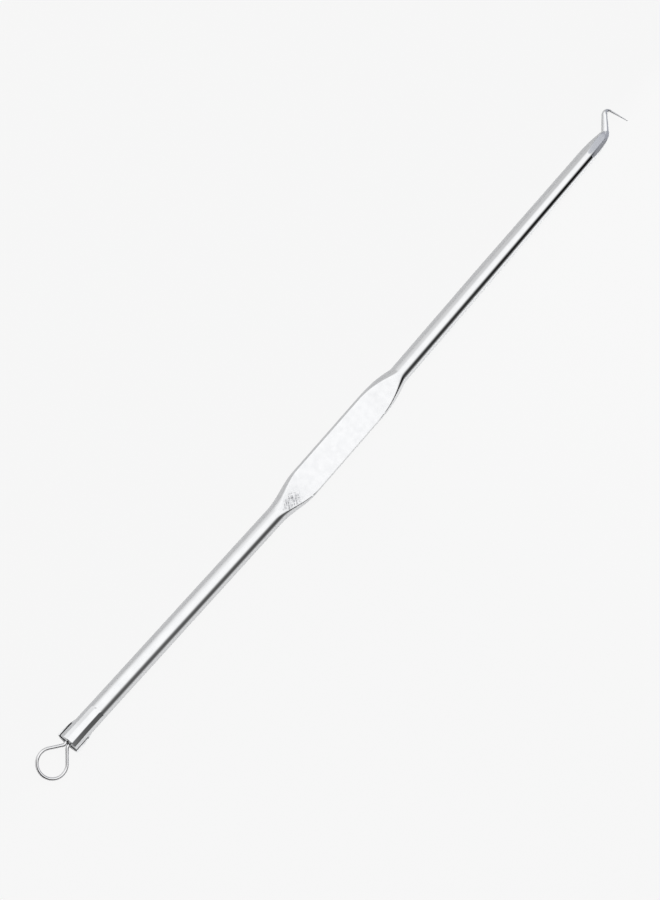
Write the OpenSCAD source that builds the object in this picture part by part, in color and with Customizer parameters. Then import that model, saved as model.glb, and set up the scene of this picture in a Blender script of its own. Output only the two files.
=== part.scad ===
// Double-ended blackhead extractor: a steel handle pressed flat into a grip,
// with a hook drawn out at one end and a wire loop held in a pressed mouth at the other.
// The tool lies on a table, +X towards the hook and +Z up, with the origin on the table
// below the middle of its length and of its width.

/* [Shaft] */
// Diameter of the round rod that the handle is pressed from
shaft_d = 2.6; // [2.2:0.05:3.2]
// Length of rod from the end face of the mouth to the grip's first shoulder
loop_shaft_l = 40.7; // [25:0.5:60]
// How far the press bends the rod at that shoulder
loop_bend = 1.1; // [0.2:0.1:3]
// Length of rod from the grip's second shoulder to the ground wedge
hook_shaft_l = 45; // [30:0.5:60]
// How far the press bends the rod at that shoulder
hook_bend = 0.4; // [0.2:0.1:3]
// Length of that rod over which it is drawn thinner
taper_l = 25; // [10:0.5:28]
// How far the drawing twists the rod where that length starts
taper_turn = 2; // [-5:1:5]
// Diameter at the thin end, where the wedge begins
neck_d = 2.3; // [2:0.05:2.6]

/* [Grip] */
// Length of the grip at its full width
grip_l = 14.2; // [8:0.1:30]
// Width of the grip across its flats
grip_w = 4.2; // [3.6:0.05:5]
// Thickness between the two flats
grip_t = 1.32; // [1:0.02:1.8]
// Height of the oval that the flats are pressed into, which sets how round the edges are
grip_oval_h = 2.84; // [2.6:0.02:3.4]
// Length of the slow shoulder on the loop's side
loop_shoulder_l = 6.2; // [3:0.1:10]
// Length of the fuller shoulder on the hook's side
hook_shoulder_l = 6.2; // [3:0.1:10]
// How full the hook's side shoulder is: 1 is straight, more is rounder
shoulder_fullness = 2.4; // [1:0.1:4]

/* [Mouth] */
// Length of the stretch that is pressed into facets to grip the loop's legs
mouth_l = 5.2; // [4.8:0.1:8]
// Diameter of the pressed stretch across the corners of its facets
mouth_d = 2.74; // [2.6:0.02:2.9]
// Length of the step from the facets back to the round rod
mouth_step_l = 0.3; // [0.2:0.05:1.5]
// Turn of the pressed facets about the rod, against the grip
facet_turn = -2; // [-15:1:15]
// Turn of the saw cut and the loop about the rod, against the grip
mouth_turn = 0; // [-15:1:15]
// Width of the upper lip at the end face
lip_w = 2.74; // [2.6:0.02:3.4]
// Height of the two lips together at the end face
lip_h = 2.2; // [1.9:0.05:2.6]
// How far the lower lip stands out beyond the upper one, on each side
lip_spread = 0.4; // [0:0.05:0.8]
// Depth of the saw cut between the lips
slot_l = 2.4; // [1:0.1:3]
// Length behind the saw cut where the lips begin to spread
lip_run = 0.7; // [0.3:0.1:1]
// Diameter of the saw
saw_d = 16; // [10:1:40]
// Height of the saw cut once the lips are pressed together
slot_h = 0.52; // [0.5:0.01:0.7]

/* [Loop] */
// Diameter of the spring wire
wire_d = 0.44; // [0.3:0.01:0.46]
// Outer width of the loop
loop_w = 4.3; // [3.5:0.05:6]
// Length of the loop from where its legs part to its far end
loop_l = 5.1; // [4.4:0.05:8]
// Inner radius of the bend where each leg turns out into the loop
leg_bend_r = 0.35; // [0.2:0.05:0.8]
// Length of straight wire between the mouth and those bends
leg_gap_l = 0.3; // [0.1:0.05:1]
// How far the loop leans to one side where it leaves the mouth
loop_lean = 4; // [-5:1:5]
// Length of leg inside the handle
leg_l = 4.6; // [3.2:0.1:8]
// Space between the two legs
leg_space = 0.04; // [0.02:0.01:0.1]
// Clearance of the legs in their bore, all round
wire_fit = 0.02; // [0.01:0.01:0.03]

/* [Hook] */
// Length of the ground wedge
wedge_l = 4.4; // [2:0.1:8]
// Width of the wedge at its small end
wedge_w = 1.5; // [1.3:0.02:2]
// How full the wedge's outline is: 1 is straight, more is rounder
wedge_fullness = 1.7; // [1:0.1:3]
// Thickness of the wedge at its small end
wedge_t = 1.2; // [1.16:0.02:1.5]
// Radius of the bend from the wedge into the hook's leg
root_bend_r = 1; // [0.85:0.05:2]
// Angle of the leg to the handle
leg_angle = 41; // [20:1:60]
// Length of the straight leg
hook_leg_l = 2.6; // [1:0.05:5]
// Radius of the bend at the top of the leg
top_bend_r = 0.7; // [0.4:0.02:1.5]
// Angle of the needle to the handle, on the other side
needle_angle = 73; // [40:1:95]
// Length of the straight needle
needle_l = 2.9; // [1:0.05:6]
// Diameter of the leg where it leaves the wedge
hook_leg_d = 1.14; // [0.9:0.02:1.16]
// Diameter at the start of the top bend
hook_top_d = 0.7; // [0.5:0.02:0.8]
// Diameter at the start of the needle
needle_d = 0.34; // [0.2:0.02:0.4]
// Diameter of the needle's blunt point
tip_d = 0.12; // [0.08:0.01:0.18]

/* [Hidden] */

steel = [0.80, 0.81, 0.83];
bright_steel = [0.88, 0.89, 0.90];

// Facets that the press leaves round the mouth
press_facets = 12;

// Faces round each cross-section, three to a facet, and steps along each curved stretch
handle_sides = 36;
wire_sides = 16;
shoulder_steps = 9;
lip_steps = 4;
wedge_steps = 4;
bend_steps = 5;
top_bend_steps = 9;
leg_bend_steps = 5;
round_steps = 40;
bore_fn = 48;
saw_fn = 180;

// Overshoot of a cut beyond the surface or section that it passes
over = 0.1;
// Room beyond the metal that a press or grinding cut clears away
reach = 4;

// Places along the handle, measured along the rod from the end face of the mouth
grip_start = loop_shaft_l + loop_shoulder_l;
grip_end = grip_start + grip_l;
hook_shaft_start = grip_end + hook_shoulder_l;
wedge_start = hook_shaft_start + hook_shaft_l;
taper_start = wedge_start - taper_l;
wedge_end = wedge_start + wedge_l;

// The rod's centre line, from the middle of the mouth's end face: the grip runs along X,
// and an arc at each shoulder turns the rod a little to the side
loop_arc_r = loop_shoulder_l / loop_bend * 180 / PI;
hook_arc_r = hook_shoulder_l / hook_bend * 180 / PI;
loop_arc_from = onward([0, 0], -loop_bend, loop_shaft_l);
grip_from = bend_point(loop_arc_from, -loop_bend, loop_arc_r, loop_bend);
grip_to = onward(grip_from, 0, grip_l);
hook_arc_to = bend_point(grip_to, 0, hook_arc_r, hook_bend);

// The loop: its legs run at leg_y each side of the axis, bend out at bend_x,
// and run straight at loop_slope until they touch the round end of the loop.
leg_y = (wire_d + leg_space) / 2;
leg_turn_r = leg_bend_r + wire_d / 2;
round_r = (loop_w - wire_d) / 2;
bend_x = leg_gap_l;
round_x = bend_x + loop_l - loop_w / 2;
round_run = round_x - bend_x;
leg_centre_y = leg_y + leg_turn_r;
loop_slope = asin((round_r + leg_turn_r) / norm([round_run, leg_centre_y]))
    - atan2(leg_centre_y, round_run);
leg_bend_to = bend_point([-bend_x, leg_y], 180, leg_turn_r, -loop_slope);
leg_bend_back = [leg_bend_to[0], -leg_bend_to[1]];
round_from = [-round_x + round_r * sin(loop_slope), round_r * cos(loop_slope)];

// The hook's centre line: a bend, the leg, a bend the other way and the needle
root_from = onward(hook_arc_to, hook_bend, hook_shaft_l + wedge_l);
leg_heading = hook_bend + leg_angle;
needle_heading = hook_bend - needle_angle;
root_to = bend_point(root_from, hook_bend, root_bend_r, leg_angle);
leg_to = onward(root_to, leg_heading, hook_leg_l);
top_turn = needle_heading - leg_heading;
top_to = bend_point(leg_to, leg_heading, top_bend_r, top_turn);
tip_at = onward(top_to, needle_heading, needle_l);

function mix(a, b, u) = a + (b - a) * u;
function s_curve(u) = u * u * (3 - 2 * u);
function clamp(u) = max(0, min(1, u));

// The point reached from p, heading at angle h, after a straight length
function onward(p, h, length) = p + length * [cos(h), sin(h)];

// The point reached from p, heading at angle h, after a bend of radius r through a
function bend_point(p, h, r, a) =
    let (side = sign(a))
    p + side * r * [sin(h + a) - sin(h), cos(h) - cos(h + a)];

// The rod's centre point and its heading at a place along it
function rod_point(x) =
    x <= loop_shaft_l ? onward([0, 0], -loop_bend, x) :
    x < grip_start ? bend_point(loop_arc_from, -loop_bend, loop_arc_r, loop_bend + rod_heading(x)) :
    x <= grip_end ? onward(grip_from, 0, x - grip_start) :
    x < hook_shaft_start ? bend_point(grip_to, 0, hook_arc_r, rod_heading(x)) :
    onward(hook_arc_to, hook_bend, x - hook_shaft_start);

function rod_heading(x) =
    x < grip_end
        ? -loop_bend * (1 - clamp((x - loop_shaft_l) / loop_shoulder_l))
        : hook_bend * clamp((x - grip_end) / hook_shoulder_l);

// One cross-section: its centre, its heading in the tool's plane, half its width, half
// its height, its turn about the rod, how far its lower half stands out on each side,
// and how fully it is pressed into facets, from 0 to 1
function section(p, heading, half_w, half_h, turn = 0, spread = 0, press = 0) =
    [p, heading, half_w, half_h, turn, spread, press];

function rod_section(x, half_w, half_h, turn = 0, spread = 0, press = 0) =
    section(rod_point(x), rod_heading(x), half_w, half_h, turn, spread, press);

// Where a facet lies between its corners, as a share of the round section
function facet_share(a) =
    let (half_facet = 180 / press_facets)
    cos(half_facet) / cos((a + half_facet) % (2 * half_facet) - half_facet);

// The points of a cross-section, which lie in pairs above and below its middle line
function section_points(s, sides) = [
    for (i = [0 : sides - 1])
        let (
            a = 360 * (i + 0.5) / sides,
            share = mix(1, facet_share(a), s[6]),
            oval_y = (s[2] + (a > 180 ? s[5] : 0)) * cos(a) * share,
            oval_z = s[3] * sin(a) * share,
            y = oval_y * cos(s[4]) - oval_z * sin(s[4]),
            z = oval_y * sin(s[4]) + oval_z * cos(s[4])
        )
        [s[0][0] - y * sin(s[1]), s[0][1] + y * cos(s[1]), z]
];

// The mouth: lips that spread towards the end face, and the pressed stretch behind them
mouth_sections = concat(
    [
        for (i = [0 : lip_steps])
            let (
                u = i / lip_steps,
                half_w = mix(lip_w, mouth_d, s_curve(u)) / 2,
                half_h = mix(lip_h, mouth_d, s_curve(u)) / 2,
                spread = lip_spread * (1 - u * u)
            )
            rod_section((slot_l + lip_run) * u, half_w, half_h, facet_turn, spread, 1)
    ],
    [
        rod_section(mouth_l, mouth_d / 2, mouth_d / 2, facet_turn, 0, 1),
        rod_section(mouth_l + mouth_step_l, shaft_d / 2, shaft_d / 2, facet_turn)
    ]
);

// The grip: a slow shoulder, the full width, and a fuller shoulder
function grip_section(x, w_share, h_share) =
    rod_section(x, mix(shaft_d, grip_w, w_share) / 2, mix(shaft_d, grip_oval_h, h_share) / 2);

grip_sections = concat(
    [
        for (i = [0 : shoulder_steps])
            let (u = i / shoulder_steps)
            grip_section(mix(loop_shaft_l, grip_start, u), s_curve(u), s_curve(u))
    ],
    [
        for (i = [0 : shoulder_steps])
            let (u = sin(90 * i / shoulder_steps))
            grip_section(
                mix(grip_end, hook_shaft_start, u),
                1 - pow(u, shoulder_fullness),
                1 - s_curve(u)
            )
    ]
);

// The drawn rod and the wedge, which narrows ever faster to its small end
wedge_end_h = mix(neck_d, wedge_t, 0.5);

wedge_sections = concat(
    [rod_section(taper_start, shaft_d / 2, shaft_d / 2, taper_turn)],
    [
        for (i = [0 : wedge_steps])
            let (u = i / wedge_steps)
            rod_section(
                mix(wedge_start, wedge_end, u),
                mix(neck_d, wedge_w, pow(u, wedge_fullness)) / 2,
                mix(neck_d, wedge_end_h, u) / 2
            )
    ]
);

// The hook: each stretch runs evenly from one diameter to the next
function bend_sections(p, h, r, a, from_w, from_h, to_d, steps) = [
    for (i = [1 : steps])
        let (u = i / steps)
        section(
            bend_point(p, h, r, a * u), h + a * u,
            mix(from_w, to_d, u) / 2, mix(from_h, to_d, u) / 2
        )
];

hook_sections = concat(
    bend_sections(
        root_from, hook_bend, root_bend_r, leg_angle,
        wedge_w, wedge_end_h, hook_leg_d, bend_steps
    ),
    [section(leg_to, leg_heading, hook_top_d / 2, hook_top_d / 2)],
    bend_sections(
        leg_to, leg_heading, top_bend_r, top_turn,
        hook_top_d, hook_top_d, needle_d, top_bend_steps
    ),
    [section(tip_at, needle_heading, tip_d / 2, tip_d / 2)]
);

// How far the tool reaches each way from the middle of the mouth's end face, and the
// point below which its origin lies
function reach_x(s) = s[0][0] + s[2] * abs(sin(s[1]));
function reach_y(s) = s[0][1] + s[2] * abs(cos(s[1]));
far_end_x = -round_x * cos(loop_lean - loop_bend) - loop_w / 2;
hook_end_x = max([for (s = hook_sections) reach_x(s)]);
loop_side_y = -round_x * sin(loop_lean - loop_bend) + loop_w / 2;
hook_side_y = max([for (s = hook_sections) reach_y(s)]);
middle = [
    (far_end_x + hook_end_x) / 2,
    (grip_from[1] - grip_w / 2 + max(loop_side_y, hook_side_y)) / 2,
    -shaft_d / 2
];

// A closed skin over a row of cross-sections, with a fan of faces round the middle of each end
module loft(sections, sides) {
    last = (len(sections) - 1) * sides;
    first_middle = last + sides;
    last_middle = first_middle + 1;
    polyhedron(
        points = concat(
            [for (s = sections) each section_points(s, sides)],
            [for (s = [sections[0], sections[len(sections) - 1]]) [s[0][0], s[0][1], 0]]
        ),
        faces = concat(
            [for (i = [0 : sides - 1]) [first_middle, i, (i + 1) % sides]],
            [
                for (k = [0 : len(sections) - 2], i = [0 : sides - 1])
                    let (a = k * sides + i, b = k * sides + (i + 1) % sides)
                    each [[a, a + sides, b], [b, a + sides, b + sides]]
            ],
            [for (i = [0 : sides - 1]) [last_middle, last + (i + 1) % sides, last + i]]
        )
    );
}

// The metal that a flat press or a grinding wheel takes off above an outline in X and Z,
// and its mirror image below the axis
module flats(outline) {
    for (side = [0, 1])
        mirror([0, 0, side])
            rotate([90, 0, 0])
                linear_extrude(reach * 2, center = true)
                    polygon(outline);
}

// The two flats of the grip, with a ramp up to the round rod at each end
module grip_flats() {
    flats([
        [loop_arc_from[0], shaft_d / 2],
        [grip_from[0] + over, grip_t / 2],
        [grip_to[0] - over, grip_t / 2],
        [hook_arc_to[0], shaft_d / 2],
        [hook_arc_to[0], reach],
        [loop_arc_from[0], reach]
    ]);
}

// The facets ground on the wedge, down to the thickness that the hook starts with
module wedge_flats() {
    translate(rod_point(wedge_start))
        rotate([0, 0, hook_bend])
            flats([
                [0, neck_d / 2],
                [wedge_l + over, wedge_t / 2],
                [wedge_l + reach, wedge_t / 2],
                [wedge_l + reach, reach],
                [0, reach]
            ]);
}

// The saw cut between the lips, and the flattened bore that the loop's legs are pushed into
module wire_seat() {
    bore_h = wire_d + 2 * wire_fit;
    rotate([mouth_turn, 0, -loop_bend]) {
        translate([slot_l - saw_d / 2, 0, 0])
            cylinder(d = saw_d, h = slot_h, center = true, $fn = saw_fn);
        translate([slot_l - over, 0, 0])
            rotate([0, 90, 0])
                linear_extrude(over + leg_l - slot_l + wire_fit) {
                    square([bore_h, 2 * leg_y], center = true);
                    for (side = [-1, 1])
                        translate([0, side * leg_y])
                            circle(d = bore_h, $fn = bore_fn);
                }
    }
}

module handle() {
    color(steel)
        translate(-middle)
            difference() {
                loft(
                    concat(mouth_sections, grip_sections, wedge_sections, hook_sections),
                    handle_sides
                );
                grip_flats();
                wedge_flats();
                wire_seat();
            }
}

// The wire: a leg, a bend outwards, the round end, and the same way back. All but the
// ends of the legs lean about the middle of the mouth's end face.
function wire_section(p, heading, lean = loop_lean) =
    section(
        [p[0] * cos(lean) - p[1] * sin(lean), p[0] * sin(lean) + p[1] * cos(lean)],
        heading + lean, wire_d / 2, wire_d / 2
    );

function wire_bend(p, h, r, a, steps) = [
    for (i = [0 : steps])
        wire_section(bend_point(p, h, r, a * i / steps), h + a * i / steps)
];

wire_sections = concat(
    [wire_section([leg_l, leg_y], 180, 0)],
    wire_bend([-bend_x, leg_y], 180, leg_turn_r, -loop_slope, leg_bend_steps),
    wire_bend(round_from, 180 - loop_slope, round_r, 180 + 2 * loop_slope, round_steps),
    wire_bend(leg_bend_back, loop_slope, leg_turn_r, -loop_slope, leg_bend_steps),
    [wire_section([leg_l, -leg_y], 0, 0)]
);

module wire_loop() {
    color(bright_steel)
        translate(-middle)
            rotate([mouth_turn, 0, -loop_bend])
                loft(wire_sections, wire_sides);
}

handle();
wire_loop();
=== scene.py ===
"""A double-ended blackhead extractor on a pale table, in soft studio light.

The handle is one steel rod, pressed flat into a grip, with a ground wedge and a bent hook at
one end and a pressed mouth at the other. A loop of spring wire stands in the mouth. The
classes hold their sizes in millimetres and degrees and make their meshes in metres, in the
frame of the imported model.
"""

import logging
import math
from dataclasses import dataclass
from enum import Enum
from typing import Any

import bmesh
import bpy
import numpy as np
from mathutils import Matrix, Vector

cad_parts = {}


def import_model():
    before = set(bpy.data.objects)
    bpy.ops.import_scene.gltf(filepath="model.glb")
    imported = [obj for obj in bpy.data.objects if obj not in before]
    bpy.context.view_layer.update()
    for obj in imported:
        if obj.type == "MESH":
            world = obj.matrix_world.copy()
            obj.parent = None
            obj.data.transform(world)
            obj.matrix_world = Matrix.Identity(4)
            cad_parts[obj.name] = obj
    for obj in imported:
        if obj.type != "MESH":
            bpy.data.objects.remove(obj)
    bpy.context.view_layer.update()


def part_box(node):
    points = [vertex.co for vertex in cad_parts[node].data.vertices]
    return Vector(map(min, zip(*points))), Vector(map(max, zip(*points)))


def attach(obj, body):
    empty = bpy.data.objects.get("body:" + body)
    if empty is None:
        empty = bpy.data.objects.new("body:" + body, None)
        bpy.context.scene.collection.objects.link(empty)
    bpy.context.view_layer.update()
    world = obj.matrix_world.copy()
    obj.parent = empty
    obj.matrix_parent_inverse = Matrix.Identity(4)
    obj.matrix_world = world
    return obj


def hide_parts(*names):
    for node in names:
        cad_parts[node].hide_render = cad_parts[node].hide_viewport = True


MM = 0.001
LOG = logging.getLogger("blackhead_extractor")

# The stray scratches: their turn in degrees, and how closely they lie along it and across it
SCRATCH_RUNS = ((12.0, 900.0, 24000.0), (-31.0, 1300.0, 30000.0), (68.0, 1500.0, 26000.0))
SCRATCH_RANGE = (0.66, 0.74)
# How much the scratches and the worn edges count as dulling, beside the clouds
SCRATCH_DULLING = 0.5
WEAR_DULLING = 0.6
# The part of the noise that shows as clouds, and as breaks in the worn edges
CLOUD_RANGE = (0.35, 0.7)
BREAK_RANGE = (0.3, 0.6)
# The most that dulling tints the steel
SHADE_SHARE = 0.35
# How deep a scratch is, against the fine lines
SCRATCH_DEPTH = -0.5

# The press wrinkles: their turns in degrees, how closely they lie, and the noise that shows
WRINKLE_TURNS = (34.0, -48.0)
WRINKLE_STRETCH = (900.0, 7500.0, 900.0)
WRINKLE_RANGE = (0.38, 0.62)
# The colour of the painted shade in the press wrinkles' creases
WRINKLE_PAINTED_SHADE = (0.28, 0.28, 0.29, 1.0)
# Where their patch fades out, how ragged its outline is, and its size along X and Y
PATCH_RANGE = (0.75, 1.35)
PATCH_RAGGED = 0.9
PATCH_STRETCH = (450.0, 700.0, 0.0)

# The colour of the painted shade deep in the saw cut and the bore
SLOT_PAINTED_SHADE = (0.012, 0.012, 0.013, 1.0)

Values = np.ndarray
Socket = bpy.types.NodeSocket


def mix(a: Any, b: Any, share: Any) -> Any:
    """Return the value that lies a share of the way from a to b."""
    return a + (b - a) * share


def s_curve(share: Any) -> Any:
    """Ease a share from 0 to 1 at both ends."""
    return share * share * (3 - 2 * share)


def along(s: Values, start: float, end: float) -> Values:
    """Return how far each place lies from start to end, as a share from 0 to 1."""
    return np.clip((s - start) / (end - start), 0, 1)


def over_share(height: Values, limit: Any, width: float) -> Values:
    """Return how far a height has passed a limit: 0 below it, 1 above it, a width apart."""
    return np.clip((height - limit) / width + 0.5, 0, 1)


def corner_share(a: Values, b: Values, width: float) -> Values:
    """Return how near two heights are to each other: 1 where they meet, 0 a width apart."""
    return np.clip(1 - np.abs(a - b) / width, 0, 1)


def soft_min(a: Values, b: Values, width: float) -> Values:
    """Return the lower of two heights, with the corner between them rounded.

    Args:
        a: The first height at each place.
        b: The second height at each place.
        width: How far apart the heights are where the rounding ends.

    Returns:
        The rounded lower height at each place.
    """
    return np.minimum(a, b) - corner_share(a, b, width) ** 2 * width / 4


@dataclass
class BentLine:
    """A centre line in the tool's plane, made of straight and evenly bent stretches.

    Args:
        start: The first point, in millimetres.
        heading: The direction at the first point, in degrees from X.
        stretches: The length of each stretch and the angle that it turns through.
        step: The spacing of the points that the line is worked out on.
    """

    start: tuple[float, float]
    heading: float
    stretches: list[tuple[float, float]]
    step: float = 0.005

    def __post_init__(self) -> None:
        """Follow the stretches and keep the points and headings on the way."""
        self.ends = np.cumsum([0.0] + [length for length, _ in self.stretches])
        headings = self.heading + np.cumsum([0.0] + [turn for _, turn in self.stretches])
        self.length = float(self.ends[-1])
        self.places = np.linspace(0, self.length, round(self.length / self.step) + 1)
        self.angles = np.radians(np.interp(self.places, self.ends, headings))
        middles = (self.angles[1:] + self.angles[:-1]) / 2
        moves = np.stack([np.cos(middles), np.sin(middles)], axis=1) * np.diff(self.places)[:, None]
        self.points = np.vstack([[0.0, 0.0], np.cumsum(moves, axis=0)]) + np.array(self.start)

    def skin(self, s: Values, y: Values, z: Values) -> Values:
        """Set cross-sections square on the line.

        Args:
            s: The place of each section along the line, as a column.
            y: How far each point of each section lies to the left of the line.
            z: How far it lies above the line.

        Returns:
            The points, as an array of sections by sides by three.
        """
        angle = np.interp(s, self.places, self.angles)
        x_at = np.interp(s, self.places, self.points[:, 0])
        y_at = np.interp(s, self.places, self.points[:, 1])
        return np.stack([x_at - y * np.sin(angle), y_at + y * np.cos(angle), z + 0 * y], axis=2)


def stations(runs: list[tuple[float, float]]) -> Values:
    """Return the places of the cross-sections along a line, as a column.

    Args:
        runs: For each run, the place where it ends and the spacing within it.

    Returns:
        The places, with each run's start and the last run's end among them.
    """
    places = []
    start = 0.0
    for end, spacing in runs:
        count = max(1, math.ceil((end - start) / spacing))
        places.extend(np.linspace(start, end, count, endpoint=False))
        start = end
    places.append(start)
    return np.array(places)[:, None]


def ring_angles(sides: int) -> Values:
    """Return the angle of each side's point round a cross-section, as a row."""
    return np.radians(360 * (np.arange(sides) + 0.5) / sides)[None, :]


def skin_mesh(name: str, points: Values) -> bpy.types.Mesh:
    """Make a closed mesh over a row of cross-sections, with a fan of faces at each end.

    Args:
        name: The mesh's name.
        points: The points in metres, as an array of sections by sides by three.

    Returns:
        The mesh, with smooth faces.
    """
    rows, sides = points.shape[:2]
    ends = np.stack([points[0].mean(axis=0), points[-1].mean(axis=0)])
    places = np.vstack([points.reshape(-1, 3), ends])
    grid = np.arange(rows * sides).reshape(rows, sides)
    turned = np.roll(grid, -1, axis=1)
    quads = np.stack([grid[:-1], turned[:-1], turned[1:], grid[1:]], axis=2).reshape(-1, 4)
    first, last = rows * sides, rows * sides + 1
    caps = [(first, b, a) for a, b in zip(grid[0].tolist(), turned[0].tolist())]
    caps += [(last, a, b) for a, b in zip(grid[-1].tolist(), turned[-1].tolist())]
    mesh = bpy.data.meshes.new(name)
    mesh.from_pydata(places.tolist(), [], quads.tolist() + caps)
    mesh.shade_smooth()
    return mesh


def paint_points(mesh: bpy.types.Mesh, name: str, values: Values) -> None:
    """Store a value on each point of a skin mesh, and 0 on the middles of its ends."""
    layer = mesh.attributes.new(name, "FLOAT", "POINT")
    layer.data.foreach_set("value", np.append(values.ravel(), [0.0, 0.0]).astype(np.float32))


def new_piece(name: str, mesh: bpy.types.Mesh) -> bpy.types.Object:
    """Put a mesh in the scene as a piece."""
    piece = bpy.data.objects.new(name, mesh)
    bpy.context.scene.collection.objects.link(piece)
    return piece


def grey(level: float) -> tuple[float, float, float, float]:
    """Return an even grey as a colour."""
    return (level, level, level, 1.0)


class Graph:
    """A short way to write shader nodes and the links between them."""

    def __init__(self, tree: bpy.types.NodeTree) -> None:
        """Start on an empty tree."""
        self.tree = tree
        tree.nodes.clear()

    def add(self, kind: str, inputs: dict[Any, Any] | None = None, **settings: Any) -> bpy.types.Node:
        """Add a node.

        Args:
            kind: The node's type, without the word that all shader nodes start with.
            inputs: For each input's name or number, the value to set or the socket to link.
            settings: Properties to set on the node.

        Returns:
            The node.
        """
        node = self.tree.nodes.new(kind if kind.startswith("Node") else "ShaderNode" + kind)
        for key, value in settings.items():
            setattr(node, key, value)
        for key, value in (inputs or {}).items():
            if isinstance(value, Socket):
                self.tree.links.new(value, node.inputs[key])
            else:
                node.inputs[key].default_value = value
        return node

    def math(self, operation: str, a: Any, b: Any = 0.0, c: Any = 0.0, clamp: bool = False) -> Socket:
        """Add a Math node and return its value."""
        node = self.add("Math", {0: a, 1: b, 2: c}, operation=operation, use_clamp=clamp)
        return node.outputs[0]

    def blend(self, share: Any, a: Any, b: Any) -> Socket:
        """Mix two values by a share and return the result."""
        return self.add("Mix", {0: share, 2: a, 3: b}).outputs[0]

    def tint(self, share: Any, a: Any, b: Any) -> Socket:
        """Mix two colours by a share and return the result."""
        node = self.add("Mix", {0: share, 6: a, 7: b}, data_type="RGBA")
        return node.outputs[2]

    def spread(self, value: Socket, low: float, high: float) -> Socket:
        """Stretch the range from low to high over 0 to 1, with its ends cut off."""
        return self.add("MapRange", {0: value, 1: low, 2: high}, clamp=True).outputs[0]

    def stretched(self, stretch: Any, turn: float = 0.0) -> Socket:
        """Return the object's coordinates, turned about Z and multiplied by a vector."""
        place = self.add("TexCoord").outputs["Object"]
        turned = self.add("VectorRotate", {"Vector": place, "Angle": math.radians(turn)},
                          rotation_type="Z_AXIS")
        return self.scaled(turned.outputs[0], stretch)

    def scaled(self, place: Socket, factors: Any) -> Socket:
        """Multiply a vector by another, part by part."""
        return self.add("VectorMath", {0: place, 1: factors}, operation="MULTIPLY").outputs[0]

    def noise(self, place: Socket, scale: Any, detail: float, roughness: float = 0.5) -> Socket:
        """Add a Noise Texture and return its value."""
        node = self.add("TexNoise", {"Vector": place, "Scale": scale, "Detail": detail,
                                     "Roughness": roughness})
        return node.outputs[0]

    def painted(self, name: str) -> Socket:
        """Return the value that a mesh stores on its points under a name."""
        return self.add("Attribute", attribute_name=name).outputs["Fac"]


def new_group(name: str, inputs: dict[str, tuple[str, Any]], outputs: list[str]) -> bpy.types.NodeTree:
    """Make an empty shader node group with named sockets.

    Args:
        name: The group's name.
        inputs: For each input's name, its kind and the value that it starts with.
        outputs: The names of the values that it puts out.

    Returns:
        The group's tree.
    """
    group = bpy.data.node_groups.new(name, "ShaderNodeTree")
    for label, (kind, start) in inputs.items():
        socket = group.interface.new_socket(label, in_out="INPUT", socket_type="NodeSocket" + kind)
        socket.default_value = start
    for label in outputs:
        group.interface.new_socket(label, in_out="OUTPUT", socket_type="NodeSocketFloat")
    return group


class Effects:
    """The shader node groups that the finishes share."""

    def __init__(self) -> None:
        """Build each group once."""
        self.grain = self.build_grain()
        self.marks = self.build_marks()
        self.wear = self.build_wear()

    @staticmethod
    def build_grain() -> bpy.types.NodeTree:
        """Make lines that run one way, fine ones over broad ones, as drawing or grinding leaves."""
        group = new_group("tool_grain", {"Stretch": ("Vector", (1.0, 1.0, 1.0))}, ["Lines", "Waves"])
        graph = Graph(group)
        stretch = graph.add("NodeGroupInput").outputs["Stretch"]
        place = graph.stretched(stretch)
        lines = graph.noise(place, scale=1.0, detail=5.0, roughness=0.62)
        waves = graph.noise(place, scale=0.12, detail=1.0)
        graph.add("NodeGroupOutput", {"Lines": lines, "Waves": waves})
        return group

    @staticmethod
    def build_marks() -> bpy.types.NodeTree:
        """Make the clouds and the hair-fine stray scratches of a part that is tumbled and used."""
        group = new_group("handling_marks", {"Cloud Size": ("Float", 0.001)}, ["Clouds", "Scratches"])
        graph = Graph(group)
        size = graph.add("NodeGroupInput").outputs["Cloud Size"]
        spacing = graph.math("DIVIDE", 1.0, size)
        place = graph.stretched((1.0, 1.0, 1.0))
        clouds = graph.noise(place, spacing, detail=4.0)
        scratches = []
        for turn, length, width in SCRATCH_RUNS:
            line = graph.noise(graph.stretched((length, width, width), turn), scale=1.0, detail=1.0)
            scratches.append(graph.spread(line, *SCRATCH_RANGE))
        either = graph.math("MAXIMUM", graph.math("MAXIMUM", *scratches[:2]), scratches[2])
        graph.add("NodeGroupOutput", {"Clouds": clouds, "Scratches": either})
        return group

    @staticmethod
    def build_wear() -> bpy.types.NodeTree:
        """Make the worn edge: the painted edges, broken up so that the line isn't even."""
        group = new_group("edge_wear", {"Breaks": ("Float", 2500.0)}, ["Mask"])
        graph = Graph(group)
        breaks = graph.add("NodeGroupInput").outputs["Breaks"]
        place = graph.stretched((1.0, 1.0, 1.0))
        gaps = graph.spread(graph.noise(place, breaks, detail=3.0), *BREAK_RANGE)
        mask = graph.math("MULTIPLY", graph.painted("edge"), gaps, clamp=True)
        graph.add("NodeGroupOutput", {"Mask": mask})
        return group


class Grain(Enum):
    """The ways that a surface's fine lines run, as how closely they lie along X, Y and Z."""

    LENGTHWISE = (260.0, 15000.0, 15000.0)
    CROSSWISE = (22000.0, 900.0, 900.0)
    SAWN = (900.0, 900.0, 26000.0)


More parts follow.
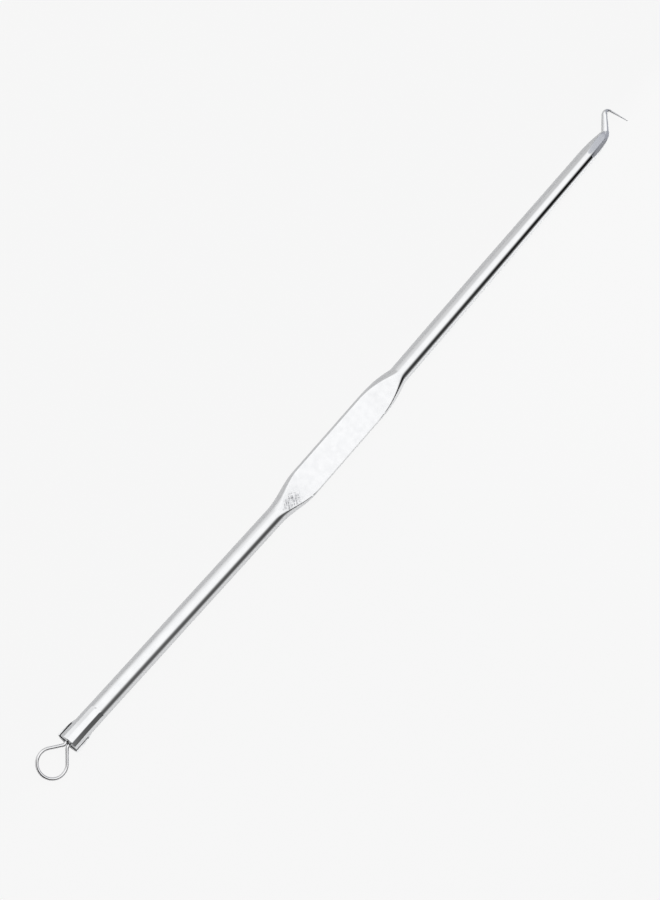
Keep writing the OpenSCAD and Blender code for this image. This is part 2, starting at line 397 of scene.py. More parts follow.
@dataclass(frozen=True)
class SteelFinish:
    """How one kind of steel surface looks.

    Args:
        colour: The steel's colour.
        shade: The colour of the worn edges and the dull clouds.
        roughness: How dull the surface is where it is cleanest.
        dulling: How much duller its clouds and scratches are.
        grain: The way that its fine lines run.
        grain_depth: How deep those lines are, in millimetres.
        wave_depth: How deep the broad waves under them are, in millimetres.
    """

    colour: tuple[float, float, float]
    shade: tuple[float, float, float]
    roughness: float
    dulling: float
    grain: Grain
    grain_depth: float
    wave_depth: float

    def layers(self, graph: Graph, effects: Effects) -> tuple[Socket, Socket, Socket]:
        """Write the finish's nodes.

        Args:
            graph: The material's graph.
            effects: The node groups.

        Returns:
            The colour, the roughness and the height in metres.
        """
        lines = graph.add("Group", {}, node_tree=effects.grain)
        lines.inputs["Stretch"].default_value = self.grain.value
        marks = graph.add("Group", {}, node_tree=effects.marks)
        wear = graph.add("Group", {}, node_tree=effects.wear)
        clouds = graph.spread(marks.outputs["Clouds"], *CLOUD_RANGE)
        scratches = marks.outputs["Scratches"]
        dull = graph.math("MULTIPLY_ADD", scratches, SCRATCH_DULLING, clouds)
        dull = graph.math("MULTIPLY_ADD", wear.outputs["Mask"], WEAR_DULLING, dull)
        shade_share = graph.math("MULTIPLY", dull, SHADE_SHARE, clamp=True)
        colour = graph.tint(shade_share, (*self.colour, 1.0), (*self.shade, 1.0))
        fine = graph.math("SUBTRACT", lines.outputs["Lines"], 0.5)
        roughness = graph.math("MULTIPLY_ADD", fine, self.dulling, self.roughness)
        roughness = graph.math("MULTIPLY_ADD", dull, self.dulling, roughness)
        height = graph.math("MULTIPLY", lines.outputs["Lines"], self.grain_depth * MM)
        height = graph.math("MULTIPLY_ADD", lines.outputs["Waves"], self.wave_depth * MM, height)
        height = graph.math("MULTIPLY_ADD", scratches, SCRATCH_DEPTH * self.grain_depth * MM, height)
        return colour, roughness, height


def close_steel(graph: Graph, colour: Socket, roughness: Socket, height: Socket) -> None:
    """Close a steel material with its shader.

    Args:
        graph: The material's graph.
        colour: The colour all over the surface.
        roughness: The roughness all over the surface.
        height: The height of its fine relief, in metres.
    """
    bump = graph.add("Bump", {"Height": height, "Distance": 1.0, "Strength": 1.0})
    shader = graph.add("BsdfPrincipled", {
        "Base Color": colour, "Roughness": roughness, "Metallic": 1.0, "Normal": bump.outputs[0],
    })
    graph.add("OutputMaterial", {"Surface": shader.outputs[0]})


def new_material(name: str) -> tuple[bpy.types.Material, Graph]:
    """Start a material and its graph."""
    material = bpy.data.materials.new(name)
    material.use_nodes = True
    return material, Graph(material.node_tree)


POLISHED_ROD = SteelFinish(
    colour=(0.90, 0.905, 0.915), shade=(0.78, 0.79, 0.81), roughness=0.04, dulling=0.04,
    grain=Grain.LENGTHWISE, grain_depth=0.00004, wave_depth=0.0009,
)
PRESSED_FLAT = SteelFinish(
    colour=(0.925, 0.93, 0.94), shade=(0.83, 0.84, 0.86), roughness=0.17, dulling=0.06,
    grain=Grain.LENGTHWISE, grain_depth=0.0002, wave_depth=0.0010,
)
GROUND_WEDGE = SteelFinish(
    colour=(0.86, 0.87, 0.90), shade=(0.66, 0.69, 0.72), roughness=0.22, dulling=0.12,
    grain=Grain.CROSSWISE, grain_depth=0.00045, wave_depth=0.0012,
)
SAWN_FACE = SteelFinish(
    colour=(0.86, 0.865, 0.875), shade=(0.66, 0.67, 0.68), roughness=0.24, dulling=0.12,
    grain=Grain.SAWN, grain_depth=0.0004, wave_depth=0.001,
)
SPRING_WIRE = SteelFinish(
    colour=(0.90, 0.90, 0.91), shade=(0.70, 0.70, 0.71), roughness=0.10, dulling=0.06,
    grain=Grain.LENGTHWISE, grain_depth=0.00005, wave_depth=0.0003,
)


@dataclass
class Handle:
    """The steel handle, from the pressed mouth to the point of the hook."""

    shaft_d: float = 2.6
    loop_shaft_l: float = 40.7
    loop_bend: float = 1.1
    hook_shaft_l: float = 44.73
    hook_bend: float = 0.4
    taper_l: float = 25.0
    neck_d: float = 2.3

    grip_l: float = 14.2
    grip_w: float = 4.2
    grip_t: float = 1.32
    grip_oval_h: float = 3.3
    loop_shoulder_l: float = 6.2
    hook_shoulder_l: float = 6.2
    shoulder_fullness: float = 2.4
    press_run: float = 0.1
    press_edge_r: float = 0.07
    press_ramp_bend: float = 0.5
    press_fade_h: float = 0.04
    wrinkles_at: tuple[float, float] = (-3.5, -0.3)

    mouth_l: float = 5.2
    mouth_d: float = 2.68
    mouth_step_l: float = 0.3
    mouth_turn: float = -9.0
    seat_turn: float = 0.0
    press_facets: int = 12
    lip_w: float = 2.74
    lip_h: float = 2.2
    lip_spread: float = 0.4
    lip_step_h: float = 0.2
    slot_l: float = 2.4
    lip_run: float = 0.7
    saw_d: float = 16.0
    slot_h: float = 0.52
    bore_l: float = 4.62
    bore_h: float = 0.48
    bore_space: float = 0.48
    bore_overlap: float = 0.1
    mouth_edge_r: float = 0.09
    mouth_wear_l: float = 0.16
    facet_wear: float = 0.004
    # How far from the middle, in millimetres, the painted shade in the saw cut fades out towards the
    # lips' rims
    slot_shade_rim: tuple[float, float] = (1.36, 1.46)

    wedge_l: float = 4.4
    wedge_w: float = 1.5
    wedge_fullness: float = 1.7
    wedge_t: float = 1.2
    wedge_edge_r: float = 0.04
    wedge_end_r: float = 0.3
    wedge_fade: tuple[float, float] = (-0.6, 0.3)
    grind_turn: float = 8.0
    grind_fade_h: float = 0.03
    grind_from: float = -1.0
    bevel_turn: float = 32.0
    bevel_depth: float = 0.49
    bevel_from: float = 0.2
    root_bend_r: float = 1.0
    leg_angle: float = 41.0
    hook_leg_l: float = 2.54
    top_bend_r: float = 0.7
    needle_angle: float = 73.0
    needle_l: float = 2.9
    hook_leg_d: float = 1.14
    hook_top_d: float = 0.82
    needle_d: float = 0.34
    tip_d: float = 0.12

    sides: int = 96
    saw_sides: int = 360
    bore_sides: int = 24
    sharp_angle: float = 38.0

    def __post_init__(self) -> None:
        """Work out the centre line and the places where its stretches end."""
        top_turn = -(self.leg_angle + self.needle_angle)
        self.line = BentLine((0.0, 0.0), -self.loop_bend, [
            (self.loop_shaft_l, 0.0),
            (self.loop_shoulder_l, self.loop_bend),
            (self.grip_l, 0.0),
            (self.hook_shoulder_l, self.hook_bend),
            (self.hook_shaft_l, 0.0),
            (self.wedge_l, 0.0),
            (math.radians(self.leg_angle) * self.root_bend_r, self.leg_angle),
            (self.hook_leg_l, 0.0),
            (math.radians(-top_turn) * self.top_bend_r, top_turn),
            (self.needle_l, 0.0),
        ])
        (_, self.grip_from, self.grip_start, self.grip_end, self.grip_to, self.wedge_start,
         self.wedge_end, self.leg_start, self.leg_end, self.needle_start, self.tip_at) = self.line.ends
        self.taper_start = self.wedge_start - self.taper_l
        self.place = np.zeros(3)

    def stations(self) -> Values:
        """Return the places of the cross-sections, close together where the form changes fast."""
        return stations([
            (self.mouth_edge_r, 0.015),
            (self.mouth_l + self.mouth_step_l + 0.3, 0.07),
            (self.grip_from - 0.8, 2.4),
            (self.grip_start + 0.5, 0.13),
            (self.grip_end - 0.5, 0.6),
            (self.grip_to + 0.8, 0.13),
            (self.wedge_start - 0.6, 2.4),
            (self.wedge_end, 0.09),
            (self.leg_start, 0.05),
            (self.leg_end, 0.1),
            (self.needle_start, 0.035),
            (self.tip_at - self.tip_d / 2, 0.1),
            (self.tip_at, 0.008),
        ])

    def half_sizes(self, s: Values) -> tuple[Values, Values]:
        """Return half the width and half the height of the oval at each place."""
        rod, neck = self.shaft_d / 2, self.neck_d / 2
        leg, top = self.hook_leg_d / 2, self.hook_top_d / 2
        needle, tip = self.needle_d / 2, self.tip_d / 2
        wedge_end_h = mix(self.neck_d, self.wedge_t, 0.5) / 2
        places = [self.taper_start, self.wedge_start, self.wedge_end, self.leg_start, self.leg_end,
                  self.needle_start, self.tip_at]
        half_w = np.interp(s, places, [rod, neck, self.wedge_w / 2, leg, top, needle, tip])
        half_h = np.interp(s, places, [rod, neck, wedge_end_h, leg, top, needle, tip])

        wedge = along(s, self.wedge_start, self.wedge_end) ** self.wedge_fullness
        in_wedge = (s > self.wedge_start) & (s < self.wedge_end)
        half_w = np.where(in_wedge, mix(neck, self.wedge_w / 2, wedge), half_w)

        rise = s_curve(along(s, self.grip_from, self.grip_start))
        fall = along(s, self.grip_end, self.grip_to)
        width_share = rise * (1 - fall ** self.shoulder_fullness)
        height_share = rise * (1 - s_curve(fall))
        half_w = half_w + (self.grip_w / 2 - rod) * width_share
        half_h = half_h + (self.grip_oval_h / 2 - rod) * height_share

        lips = s_curve(along(s, 0, self.slot_l + self.lip_run))
        back = s_curve(along(s, self.mouth_l, self.mouth_l + self.mouth_step_l))
        in_mouth = s < self.mouth_l + self.mouth_step_l
        half_w = np.where(in_mouth, mix(mix(self.lip_w, self.mouth_d, lips) / 2, rod, back), half_w)
        half_h = np.where(in_mouth, mix(mix(self.lip_h, self.mouth_d, lips) / 2, rod, back), half_h)

        edge_r = self.mouth_edge_r
        edge = edge_r - np.sqrt(np.maximum(edge_r**2 - np.maximum(edge_r - s, 0) ** 2, 0))
        point_r = self.tip_d / 2
        point = np.sqrt(1 - np.clip(1 - (self.tip_at - s) / point_r, 0, 0.999) ** 2)
        return (half_w - edge) * point, (half_h - edge) * point

    def flat_heights(self, s: Values) -> tuple[Values, Values]:
        """Return the heights of the pressed and the ground flats above the line."""
        press_slope = (self.shaft_d - self.grip_t) / 2 / (self.loop_shoulder_l + self.press_run)
        outside = np.maximum(self.grip_start + self.press_run - s, s - self.grip_end + self.press_run)
        ramp = -soft_min(-outside * press_slope, 0 * s, self.press_ramp_bend * press_slope)
        grind_slope = (self.neck_d - self.wedge_t) / 2 / (self.wedge_l + self.press_run)
        before = np.maximum(self.wedge_end + self.press_run - s, 0)
        return self.grip_t / 2 + ramp, self.wedge_t / 2 + before * grind_slope

    def facet_share(self, angle: Values) -> Values:
        """Return where a facet lies between its corners, as a share of the round section."""
        half = math.pi / self.press_facets
        return math.cos(half) / np.cos((angle + half) % (2 * half) - half)

    def skin(self) -> bpy.types.Mesh:
        """Loft the handle's skin and paint its edges, its pressed stretches and its ground ones."""
        s = self.stations()
        angle = ring_angles(self.sides)
        half_w, half_h = self.half_sizes(s)
        press = 1 - along(s, self.mouth_l, self.mouth_l + self.mouth_step_l)
        corner = self.facet_share(angle + math.pi / self.press_facets)
        share = mix(1, self.facet_share(angle), press)
        z = half_h * np.sin(angle) * share
        lower = s_curve(over_share(-z, 0, self.lip_step_h))
        spread = self.lip_spread * (1 - along(s, 0, self.slot_l + self.lip_run) ** 2) * lower
        y = (half_w + spread) * np.cos(angle) * share
        turn = np.radians(self.mouth_turn) * press
        y, z = y * np.cos(turn) - z * np.sin(turn), y * np.sin(turn) + z * np.cos(turn)

        pressed_h, ground_h = self.flat_heights(s)
        height = np.abs(z)
        at_press = corner_share(height, pressed_h, 2 * self.press_edge_r)
        pressed = over_share(height, pressed_h, self.press_fade_h)
        height = soft_min(height, pressed_h, self.press_edge_r)

        tilt = math.radians(self.grind_turn)
        tilted = height * math.cos(tilt) + y * math.sin(tilt)
        fading = along(s, self.wedge_end + self.wedge_fade[0], self.wedge_end + self.wedge_fade[1])
        at_grind = corner_share(tilted, ground_h, 2 * self.wedge_edge_r) * (1 - fading)
        ground = over_share(tilted, ground_h, self.grind_fade_h) * (1 - fading)
        tilted = soft_min(tilted, ground_h, mix(self.wedge_edge_r, self.wedge_end_r, fading))
        tilted = (tilted - y * math.sin(tilt)) / math.cos(tilt)
        height = np.where(s > self.wedge_start + self.grind_from, tilted, height)

        bevel = math.radians(self.bevel_turn)
        sloped = height * math.cos(bevel) - y * math.sin(bevel)
        bevel_h = self.neck_d / 2 - self.bevel_depth * along(s, self.wedge_start, self.wedge_end)
        sloped = soft_min(sloped, bevel_h, mix(self.wedge_edge_r, self.wedge_end_r, fading))
        sloped = (sloped + y * math.sin(bevel)) / math.cos(bevel)
        height = np.where(s > self.wedge_start + self.bevel_from, sloped, height)
        z = np.sign(z) * np.maximum(height, 0)

        points = (self.line.skin(s, y, z) + self.place) * MM
        mesh = skin_mesh("handle_skin", points)
        facet_corner = np.clip(1 - (corner - corner.min()) / self.facet_wear, 0, 1) * press
        lip_edge = 1 - along(s, 0, self.mouth_wear_l)
        edge = np.clip(at_press**2 + at_grind**2 + facet_corner + lip_edge + 0 * z, 0, 1)
        paint_points(mesh, "edge", edge)
        paint_points(mesh, "pressed", pressed)
        paint_points(mesh, "ground", ground)
        return mesh

    def mouth_frame(self, turn: float) -> Matrix:
        """Return a frame at the mouth's end face, bent with the rod and turned about it."""
        turned = Matrix.Rotation(math.radians(turn), 4, "X")
        bent = Matrix.Rotation(math.radians(-self.loop_bend), 4, "Z")
        return Matrix.Translation(Vector(self.place * MM)) @ bent @ turned

    def saw_cutter(self) -> bpy.types.Mesh:
        """Make the saw's disc where it stands at the bottom of its cut."""
        mesh = bpy.data.meshes.new("saw_cutter")
        bm = bmesh.new()
        centre = Matrix.Translation(Vector((self.slot_l - self.saw_d / 2, 0, 0)) * MM)
        bmesh.ops.create_cone(
            bm, cap_ends=True, segments=self.saw_sides, radius1=self.saw_d / 2 * MM,
            radius2=self.saw_d / 2 * MM, depth=self.slot_h * MM,
            matrix=self.mouth_frame(self.mouth_turn) @ centre
        )
        bm.to_mesh(mesh)
        bm.free()
        return mesh

    def bore_cutter(self) -> bpy.types.Mesh:
        """Make the flattened bore behind the saw cut."""
        start, end = self.slot_l - self.bore_overlap, self.bore_l
        turn = np.linspace(-math.pi / 2, math.pi / 2, self.bore_sides)
        y = np.concatenate([np.cos(turn), -np.cos(turn)]) * self.bore_h / 2
        y += np.repeat([self.bore_space / 2, -self.bore_space / 2], self.bore_sides)
        z = np.concatenate([np.sin(turn), -np.sin(turn)]) * self.bore_h / 2
        rings = [np.stack([np.full_like(y, x), y, z], axis=1) * MM for x in (start, end)]
        mesh = skin_mesh("bore_cutter", np.stack(rings))
        mesh.transform(self.mouth_frame(self.seat_turn))
        return mesh

    def cut(self, piece: bpy.types.Object, cutter: bpy.types.Mesh) -> None:
        """Cut one form out of the handle and leave its walls with the second material.

        Args:
            piece: The handle.
            cutter: The form that is cut out.
        """
        for material in piece.data.materials:
            cutter.materials.append(material)
        cutter.polygons.foreach_set("material_index", [1] * len(cutter.polygons))
        tool = new_piece("cutter", cutter)
        modifier = piece.modifiers.new("cut", "BOOLEAN")
        modifier.operation = "DIFFERENCE"
        modifier.solver = "EXACT"
        modifier.material_mode = "INDEX"
        modifier.object = tool
        shape = piece.evaluated_get(bpy.context.evaluated_depsgraph_get())
        mesh = bpy.data.meshes.new_from_object(shape)
        piece.modifiers.clear()
        piece.data = mesh
        bpy.data.objects.remove(tool)

    def settle(self, low: Vector, high: Vector) -> None:
        """Find the handle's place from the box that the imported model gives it.

        Args:
            low: The box's lowest corner, in metres.
            high: The box's highest corner, in metres.
        """
        s = self.stations()
        half_w, _ = self.half_sizes(s)
        rim = self.line.skin(s, half_w * np.array([[1.0, -1.0]]), 0 * half_w)
        lip_y = (self.lip_w / 2 + self.lip_spread) * math.cos(math.pi / self.press_facets)
        near_x = -lip_y * math.sin(math.radians(self.loop_bend))
        near_y = rim[:, :, 1].min()
        self.place = np.array([low.x / MM - near_x, low.y / MM - near_y, (low.z + high.z) / 2 / MM])

    def build(self, effects: Effects) -> bpy.types.Object:
        """Make the handle, saw and bore its mouth, and dress it.

        Args:
            effects: The shader node groups.

        Returns:
            The finished piece.
        """
        piece = new_piece("steel_handle", self.skin())
        piece.data.materials.append(self.dress_skin(effects))
        piece.data.materials.append(self.dress_sawn(effects))
        self.cut(piece, self.saw_cutter())
        self.cut(piece, self.bore_cutter())
        piece.data.set_sharp_from_angle(angle=math.radians(self.sharp_angle))
        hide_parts("handle")
        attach(piece, "root")
        return piece

    def wrinkle_relief_and_shade(self, graph: Graph) -> Socket:
        """Write the mask of the crosshatched press wrinkles at the loop's end of the grip's upper flat,
        which sets their relief and the painted shade in their creases.
        """
        back, aside = self.wrinkles_at
        middle = self.line.points[np.searchsorted(self.line.places, self.grip_start + back)]
        centre = Vector((middle[0] + self.place[0], middle[1] + self.place[1] + aside, 0)) * MM
        place = graph.add("TexCoord").outputs["Object"]
        offset = graph.add("VectorMath", {0: place, 1: centre}, operation="SUBTRACT").outputs[0]
        shrunk = graph.scaled(offset, PATCH_STRETCH)
        far = graph.add("VectorMath", {0: shrunk}, operation="LENGTH").outputs["Value"]
        ragged = graph.noise(place, scale=2600.0, detail=2.0)
        ragged = graph.math("MULTIPLY_ADD", ragged, PATCH_RAGGED, far)
        mask = graph.math("SUBTRACT", 1.0, graph.spread(ragged, *PATCH_RANGE))
        ridges = []
        for turn in WRINKLE_TURNS:
            line = graph.noise(graph.stretched(WRINKLE_STRETCH, turn), scale=1.0, detail=2.0)
            ridges.append(graph.spread(line, *WRINKLE_RANGE))
        crossed = graph.math("MULTIPLY", ridges[0], ridges[1])
        return graph.math("MULTIPLY", crossed, mask)

    def dress_skin(self, effects: Effects) -> bpy.types.Material:
        """Dress the skin: polished rod, duller where it is pressed, ground on the wedge, and with
        painted shade in the press wrinkles.
        """
        material, graph = new_material("polished_steel_skin")
        pressed = graph.painted("pressed")
        ground = graph.painted("ground")
        colour, roughness, height = POLISHED_ROD.layers(graph, effects)
        for finish, share in ((PRESSED_FLAT, pressed), (GROUND_WEDGE, ground)):
            other = finish.layers(graph, effects)
            colour = graph.tint(share, colour, other[0])
            roughness = graph.blend(share, roughness, other[1])
            height = graph.blend(share, height, other[2])
        wrinkle_relief_and_shade = graph.math("MULTIPLY", self.wrinkle_relief_and_shade(graph), pressed)
        # Painted shade: the wrinkles darken the steel's colour, standing in for the shade in their
        # creases
        colour = graph.tint(graph.math("MULTIPLY", wrinkle_relief_and_shade, 0.9), colour, WRINKLE_PAINTED_SHADE)
        height = graph.math("MULTIPLY_ADD", wrinkle_relief_and_shade, 0.02 * MM, height)
        roughness = graph.math("MULTIPLY_ADD", wrinkle_relief_and_shade, 0.1, roughness)
        close_steel(graph, colour, roughness, height)
        return material

    def dress_sawn(self, effects: Effects) -> bpy.types.Material:
        """Dress the walls of the saw cut and the bore: bare at the lips' rims, with painted shade
        deeper in.
        """
        material, graph = new_material("sawn_face")
        colour, roughness, height = SAWN_FACE.layers(graph, effects)
        place = graph.add("TexCoord").outputs["Object"]
        side = graph.add("SeparateXYZ", {0: place}).outputs["Y"]
        from_middle = graph.math("ABSOLUTE", graph.math("SUBTRACT", side, float(self.place[1]) * MM))
        depth = graph.math("SUBTRACT", 1.0, graph.spread(from_middle, *(r * MM for r in self.slot_shade_rim)))
        # Painted shade: the walls darken towards the middle of the cut, where little light reaches
        colour = graph.tint(depth, colour, SLOT_PAINTED_SHADE)
        roughness = graph.math("MULTIPLY_ADD", depth, 0.4, roughness)
        close_steel(graph, colour, roughness, height)
        return material


@dataclass
class WireLoop:
    """The loop of spring wire, whose two legs stand side by side in the handle's mouth."""

    wire_d: float = 0.435
    loop_w: float = 4.26
    loop_l: float = 5.1
    leg_bend_r: float = 0.35
    leg_gap_l: float = 0.27
    loop_lean: float = 4.1
    leg_l: float = 4.6
    leg_space: float = 0.04
    end_r: float = 0.05
    sides: int = 40

    def line(self) -> BentLine:
        """Follow the wire from one leg's end round the loop to the other's."""
        leg_y = (self.wire_d + self.leg_space) / 2
        turn_r = self.leg_bend_r + self.wire_d / 2
        round_r = (self.loop_w - self.wire_d) / 2
        round_run = self.loop_l - self.loop_w / 2
        reach = math.hypot(round_run, leg_y + turn_r)
        slope = math.asin((round_r + turn_r) / reach) - math.atan2(leg_y + turn_r, round_run)
        straight = math.sqrt(reach**2 - (round_r + turn_r) ** 2)
        bend = (slope * turn_r, -math.degrees(slope))
        turn = 180 + 2 * math.degrees(slope)
        slack = 2 * leg_y * math.sin(math.radians(self.loop_lean))
        return BentLine((self.leg_l, leg_y), 180.0, [
            (self.leg_l, 0.0),
            (self.leg_gap_l, self.loop_lean),
            (slack, 0.0),
            bend,
            (straight, 0.0),
            (math.radians(turn) * round_r, turn),
            (straight, 0.0),
            bend,
            (self.leg_gap_l, -self.loop_lean),
            (self.leg_l, 0.0),
        ])

    def build(self, mouth: Matrix, effects: Effects) -> bpy.types.Object:
        """Make the wire, set it in the mouth and dress it.

        Args:
            mouth: The mouth's frame, in metres.
            effects: The shader node groups.

        Returns:
            The finished piece.
        """
        line = self.line()
        s = stations([
            (self.end_r, 0.012),
            (self.leg_l, 0.5),
            (line.length - self.leg_l, 0.05),
            (line.length - self.end_r, 0.5),
            (line.length, 0.012),
        ])
        angle = ring_angles(self.sides)
        near_end = np.maximum(self.end_r - np.minimum(s, line.length - s), 0)
        radius = self.wire_d / 2 - self.end_r + np.sqrt(np.maximum(self.end_r**2 - near_end**2, 0))
        mesh = skin_mesh("wire_skin", line.skin(s, radius * np.cos(angle), radius * np.sin(angle)) * MM)
        mesh.transform(mouth)
        paint_points(mesh, "edge", near_end / self.end_r + 0 * angle)
        piece = new_piece("spring_wire_loop", mesh)
        material, graph = new_material("spring_wire")
        close_steel(graph, *SPRING_WIRE.layers(graph, effects))
        piece.data.materials.append(material)
        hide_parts("wire_loop")
        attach(piece, "root")
        return piece


@dataclass(frozen=True)
class Studio:
    """The pale table and the soft light round it.

    The tones are the brightness of the surroundings seen by the steel, by their angle from
    straight up: minus towards +Y, plus towards -Y. Dark screens stand along the -Y side. The
    square row holds for directions square to the tool, the slanted row for ones that lean
    towards the hook, and the across row for ones that lean towards the loop.
    """

    background: float = 0.93
    # Painted light and shade on the table as the steel sees it: its colour on the +Y side, on the -Y
    # side, and far along +X
    painted_floor_light: tuple[float, float, float] = (0.55, 0.70, 1.0)
    floor_glow: float = 0.907
    floor_half: float = 1.5
    floor_sides_y: tuple[float, float] = (-0.002, 0.002)
    floor_far_x: tuple[float, float] = (-0.01, 0.045)
    shadow_share: float = 0.03
    lamp_size: float = 0.5
    lamp_power: float = 2.6
    lamp_at: tuple[float, float, float] = (-0.05, 0.12, 0.6)
    peak: float = 1.2
    across_x: tuple[float, float] = (-0.12, -0.03)
    square_x: float = 0.30
    slanted_x: float = 0.52
    end_x: tuple[float, float] = (0.60, 0.72)
    end_tone: tuple[float, float, float] = (0.40, 0.41, 0.45)
    square_tones: tuple[tuple[float, float], ...] = (
        (-180, 0.53), (-120, 0.57), (-104, 0.57), (-94, 0.60), (-80, 0.72), (-67, 0.92),
        (-54, 1.02), (-43, 1.07), (0, 1.075), (13, 1.02), (22, 0.74), (30, 0.32), (40, 0.14),
        (48, 0.105), (61, 0.105), (68, 0.17), (76, 0.38), (84, 0.62), (90, 0.7), (180, 0.7),
    )
    slanted_tones: tuple[tuple[float, float], ...] = (
        (-180, 0.6), (-124, 0.6), (-103, 0.55), (-86, 0.56), (-73, 0.61), (-59, 0.58),
        (-47, 0.62), (-38, 0.84), (-30, 1.0), (-22, 1.06), (7, 1.075), (18, 1.0), (27, 0.60),
        (34, 0.20), (41, 0.03), (46, 0.0), (62, 0.0), (68, 0.03), (76, 0.15), (84, 0.36),
        (93, 0.60), (115, 0.8), (180, 0.8),
    )
    across_tones: tuple[tuple[float, float], ...] = (
        (-180, 0.5), (-110, 0.55), (-65, 0.95), (-45, 0.25), (-35, 0.04), (56, 0.03), (68, 0.12),
        (80, 0.40), (100, 0.6), (180, 0.5),
    )

    def tones(self, graph: Graph, turn: Socket, rows: tuple[tuple[float, float], ...]) -> Socket:
        """Write one row of tones as a colour ramp.

        Args:
            graph: The world's graph.
            turn: The direction's angle, from 0 to 1 for a whole turn.
            rows: The angle and the brightness of each tone.

        Returns:
            The brightness, as a share of the peak.
        """
        node = graph.add("ValToRGB", {"Fac": turn})
        ramp = node.color_ramp
        ramp.elements.remove(ramp.elements[1])
        for index, (angle, tone) in enumerate(rows):
            position = (angle + 180) / 360
            stop = ramp.elements[0] if index == 0 else ramp.elements.new(position)
            stop.position = position
            stop.color = grey(tone / self.peak)
        return node.outputs[0]

    def build_world(self) -> None:
        """Make the surroundings: a plain pale background, and the studio for all other rays."""
        world = bpy.data.worlds.new("soft_studio")
        world.use_nodes = True
        bpy.context.scene.world = world
        graph = Graph(world.node_tree)
        direction = graph.add("SeparateXYZ", {0: graph.add("TexCoord").outputs["Generated"]})
        x, y, z = direction.outputs
        angle = graph.math("ARCTAN2", graph.math("MULTIPLY", y, -1.0), z)
        turn = graph.math("MULTIPLY_ADD", angle, 0.5 / math.pi, 0.5)
        slant = graph.spread(x, self.square_x, self.slanted_x)
        square = self.tones(graph, turn, self.square_tones)
        slanted = self.tones(graph, turn, self.slanted_tones)
        across = self.tones(graph, turn, self.across_tones)
        side = graph.tint(slant, square, slanted)
        side = graph.tint(graph.spread(x, *self.across_x), across, side)
        end_level = tuple(tone / self.peak for tone in self.end_tone)
        tone = graph.tint(graph.spread(x, *self.end_x), side, (*end_level, 1.0))
        studio = graph.add("Background", {"Color": tone, "Strength": self.peak})
        plain = graph.add("Background", {"Color": grey(self.background), "Strength": 1.0})
        camera_ray = graph.add("LightPath").outputs["Is Camera Ray"]
        either = graph.add("MixShader", {0: camera_ray, 1: studio.outputs[0], 2: plain.outputs[0]})
        graph.add("OutputWorld", {"Surface": either.outputs[0]})

    def build_floor(self) -> bpy.types.Object:
        """Make the table: pale to the camera, with a faint soft shadow of the tool on it, and painted
        light and shade in the tones that the steel reflects.
        """
        h = self.floor_half
        mesh = bpy.data.meshes.new("table_top")
        mesh.from_pydata([(-h, -h, 0), (h, -h, 0), (h, h, 0), (-h, h, 0)], [], [(0, 1, 2, 3)])
        floor = new_piece("table_top", mesh)
        material, graph = new_material("pale_table")
        x, y, _ = graph.add("SeparateXYZ", {0: graph.add("TexCoord").outputs["Object"]}).outputs
        # Painted light and shade: the table is darkest on the +Y side and lighter on the -Y side,
        # lightest far along +X, so that the steel reflects it darker or lighter by side
        left, right, far_right = map(grey, self.painted_floor_light)
        near = graph.tint(graph.spread(x, *self.floor_far_x), right, far_right)
        colour = graph.tint(graph.spread(y, *self.floor_sides_y), near, left)
        matt = graph.add("BsdfDiffuse", {"Color": colour})
        glow = self.floor_glow / (1 - self.shadow_share)
        plain = graph.add("Emission", {"Color": grey(glow), "Strength": 1.0})
        camera_ray = graph.add("LightPath").outputs["Is Camera Ray"]
        share = graph.math("MULTIPLY", camera_ray, 1 - self.shadow_share)
        either = graph.add("MixShader", {0: share, 1: matt.outputs[0], 2: plain.outputs[0]})
        graph.add("OutputMaterial", {"Surface": either.outputs[0]})
        mesh.materials.append(material)
        return floor

    def build_lamp(self) -> None:
        """Hang one soft lamp over the table, for the shadow alone."""
        light = bpy.data.lights.new("overhead_softbox", "AREA")
        light.shape = "DISK"
        light.size = self.lamp_size
        light.energy = self.lamp_power
        lamp = bpy.data.objects.new("overhead_softbox", light)
        lamp.location = self.lamp_at
        lamp.rotation_euler = Vector(lamp.location).to_track_quat("Z", "Y").to_euler()
        lamp.visible_glossy = False
        lamp.visible_camera = False
        bpy.context.scene.collection.objects.link(lamp)

    def build(self) -> None:
        """Make the world, the table and the lamp, with plain colour management."""
        bpy.context.scene.view_settings.view_transform = "Standard"
        self.build_world()
        self.build_floor()
        self.build_lamp()


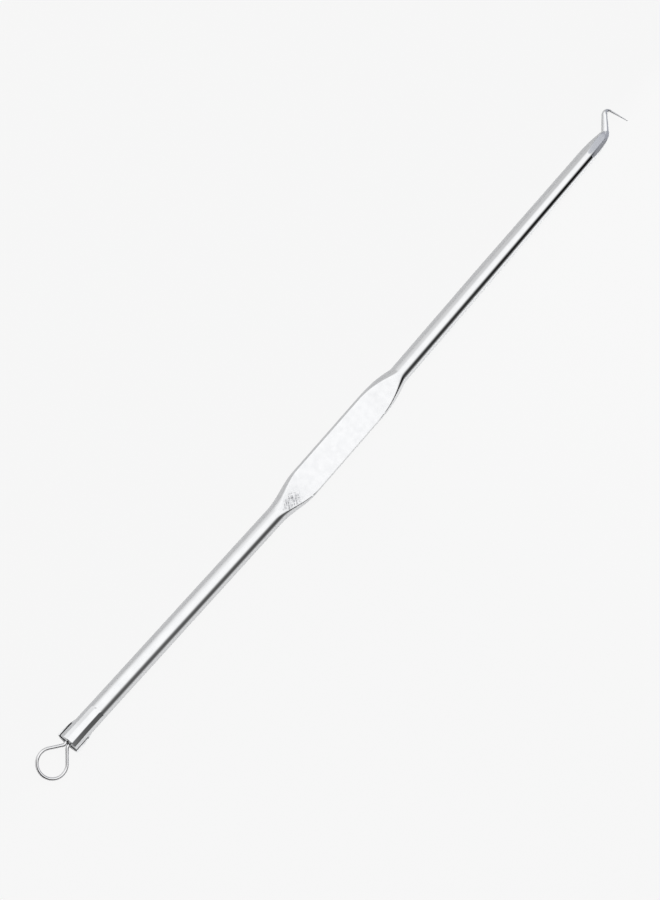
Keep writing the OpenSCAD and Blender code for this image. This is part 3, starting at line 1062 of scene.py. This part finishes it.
@dataclass(frozen=True)
class Viewpoint:
    """Where the camera stands.

    Args:
        azimuth: The angle round the tool, in degrees.
        elevation: The angle above the table, in degrees.
        roll: The camera's turn about its own axis, in degrees.
        distance: How far it stands from the point it looks at, in millimetres.
        lens: The focal length, in millimetres.
        frame_w: The width of the camera's frame, in millimetres.
        aim: The point that it looks at, from the middle of the mouth's end face.
    """

    azimuth: float = 254.249
    elevation: float = 65.989
    roll: float = 58.32
    distance: float = 354.9
    lens: float = 108.14
    frame_w: float = 36.0
    aim: tuple[float, float] = (52.84, -0.524)

    def build(self, mouth_at: Values) -> None:
        """Set up the camera.

        Args:
            mouth_at: The middle of the mouth's end face, in millimetres.
        """
        around, up = math.radians(self.azimuth), math.radians(self.elevation)
        back = Vector((math.sin(around) * math.cos(up), -math.cos(around) * math.cos(up), math.sin(up)))
        level = Vector((0, 0, 1)).cross(back).normalized()
        upright = back.cross(level)
        roll = math.radians(self.roll)
        right = level * math.cos(roll) + upright * math.sin(roll)
        above = upright * math.cos(roll) - level * math.sin(roll)
        target = Vector((mouth_at[0] + self.aim[0], mouth_at[1] + self.aim[1], mouth_at[2]))
        data = bpy.data.cameras.new("photo_view")
        data.lens = self.lens
        data.sensor_width = self.frame_w
        data.clip_start = 0.01
        data.clip_end = 10.0
        camera = bpy.data.objects.new("photo_view", data)
        turned = Matrix((right, above, back)).transposed().to_4x4()
        camera.matrix_world = Matrix.Translation((target + back * self.distance) * MM) @ turned
        bpy.context.scene.collection.objects.link(camera)
        bpy.context.scene.camera = camera


def main() -> None:
    """Load the frame, make the two pieces, the studio and the camera, and note the sizes."""
    logging.basicConfig(level=logging.INFO, format="%(name)s: %(message)s")
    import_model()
    effects = Effects()
    handle = Handle()
    handle.settle(*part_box("handle"))
    loop = WireLoop()
    Viewpoint().build(handle.place)
    seat = handle.mouth_frame(handle.seat_turn)
    for piece in (handle.build(effects), loop.build(seat, effects)):
        LOG.info("%s: %d faces", piece.name, len(piece.data.polygons))
    Studio().build()


if __name__ == "__main__":
    main()
